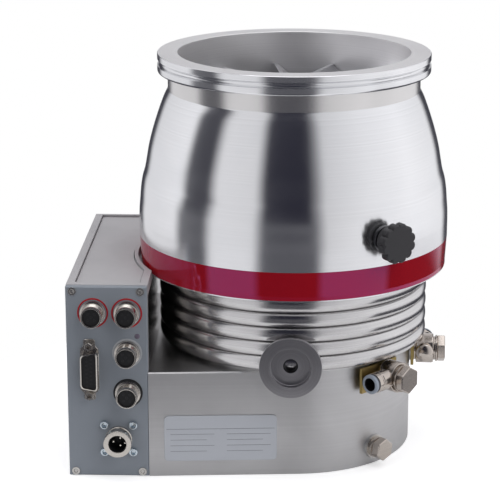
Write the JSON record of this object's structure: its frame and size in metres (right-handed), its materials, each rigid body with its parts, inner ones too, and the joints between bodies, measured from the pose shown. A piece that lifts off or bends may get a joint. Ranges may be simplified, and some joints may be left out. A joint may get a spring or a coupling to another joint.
{
  "type": "turbomolecular vacuum pump",
  "caption": "Turbomolecular pump with a clamp-flange inlet, bladed rotor and stators, finned housing, side drive unit with a connector panel, vent valve and cooling-water elbows.",
  "frame": {"origin": "centre of the round base cover, on the plane that the pump stands on", "axes": "+Z along the rotor axis towards the inlet; -Y towards the fore-line port and the connector panel; -X towards the drive unit"},
  "size_m": [0.2476, 0.2064, 0.265],
  "materials": {
    "bell_metal": "turned and finely brushed",
    "housing_metal": "finely machined, matt",
    "fin_metal": "turned, bright ridges",
    "band_red": "smooth semi-gloss red",
    "blade_metal": "milled",
    "shaft_steel": "ground",
    "port_metal": "turned stainless steel",
    "knob_black": "matt black",
    "seal_black": "matt",
    "fitting_nickel": "nickel plated",
    "plate_brass": "plain",
    "collet_blue": "pale blue-grey",
    "steel": "zinc plated",
    "label_silver": "satin, blank",
    "case_grey": "light grey, smooth",
    "panel_grey": "blue-grey, smooth",
    "socket_nickel": "nickel plated",
    "insert_black": "matt",
    "pin_gold": "gold plated",
    "board_green": "circuit board",
    "lamp_grey": "translucent lamp cap, unlit"
  },
  "bodies": {
    "pump_body": {"base_housing": "housing_metal", "base_cover": "housing_metal", "finned_housing": "fin_metal", "bell_housing": "bell_metal", "accent_band": "band_red", "stator_ring_1": "blade_metal", "stator_ring_2": "blade_metal", "stator_ring_3": "blade_metal", "bearing_column": "shaft_steel", "foreline_port": "port_metal", "vent_seat": "steel", "cooling_plates": "plate_brass", "banjo_washers": "fitting_nickel", "banjo_bolts": "fitting_nickel", "earth_washer": "steel", "earth_screw": "steel", "rating_plate": "label_silver", "drive_case": "case_grey", "drive_cover": "case_grey", "front_panel": "panel_grey", "circuit_board": "board_green", "accessory_socket": "socket_nickel", "fieldbus_socket": "socket_nickel", "serial_socket": "socket_nickel", "socket_inserts": "insert_black", "remote_socket": "socket_nickel", "remote_insert": "insert_black", "jack_posts": "steel", "power_inlet": "socket_nickel", "inlet_pins": "pin_gold", "status_lamp": "lamp_grey"},
    "rotor_unit": {"rotor": "blade_metal", "shaft": "shaft_steel"},
    "vent_seal": {"vent_seal": "seal_black"},
    "vent_knob": {"vent_knob": "knob_black"},
    "elbow_front": {"banjo_front": "fitting_nickel"},
    "elbow_rear": {"banjo_rear": "fitting_nickel"},
    "release_front": {"collet_front": "collet_blue"},
    "release_rear": {"collet_rear": "collet_blue"}
  },
  "joints": [
    {"name": "rotor_spin", "type": "hinge", "parent": "pump_body", "child": "rotor_unit", "pos_m": [0, 0, 0.1], "axis": [0, 0, 1], "continuous": true},
    {"name": "vent_travel", "type": "slide", "parent": "pump_body", "child": "vent_seal", "axis": [0.5736, -0.8192, 0], "range_m": [0, 0.006]},
    {"name": "vent_turn", "type": "hinge", "parent": "vent_seal", "child": "vent_knob", "pos_m": [0.06309, -0.09011, 0.161], "axis": [0.5736, -0.8192, 0], "range_deg": [0, 1440]},
    {"name": "elbow_front_swivel", "type": "hinge", "parent": "pump_body", "child": "elbow_front", "pos_m": [0.06688, -0.06022, 0.0615], "axis": [0.7431, -0.6691, 0], "range_deg": [-8, 20]},
    {"name": "release_front_press", "type": "slide", "parent": "elbow_front", "child": "release_front", "axis": [0.6691, 0.7431, 0], "range_m": [0, 0.0012], "stiffness_N_per_m": 800, "springref_m": -0.0005},
    {"name": "elbow_rear_swivel", "type": "hinge", "parent": "pump_body", "child": "elbow_rear", "pos_m": [0.08994, -0.00314, 0.0615], "axis": [0.9994, -0.0349, 0], "range_deg": [-20, 8]},
    {"name": "release_rear_press", "type": "slide", "parent": "elbow_rear", "child": "release_rear", "axis": [-0.0349, -0.9994, 0], "range_m": [0, 0.0012], "stiffness_N_per_m": 800, "springref_m": -0.0005}
  ],
  "couplings": [
    {"joint": "vent_turn", "follows": "vent_travel", "rad_per_m": 4188.7}
  ]
}
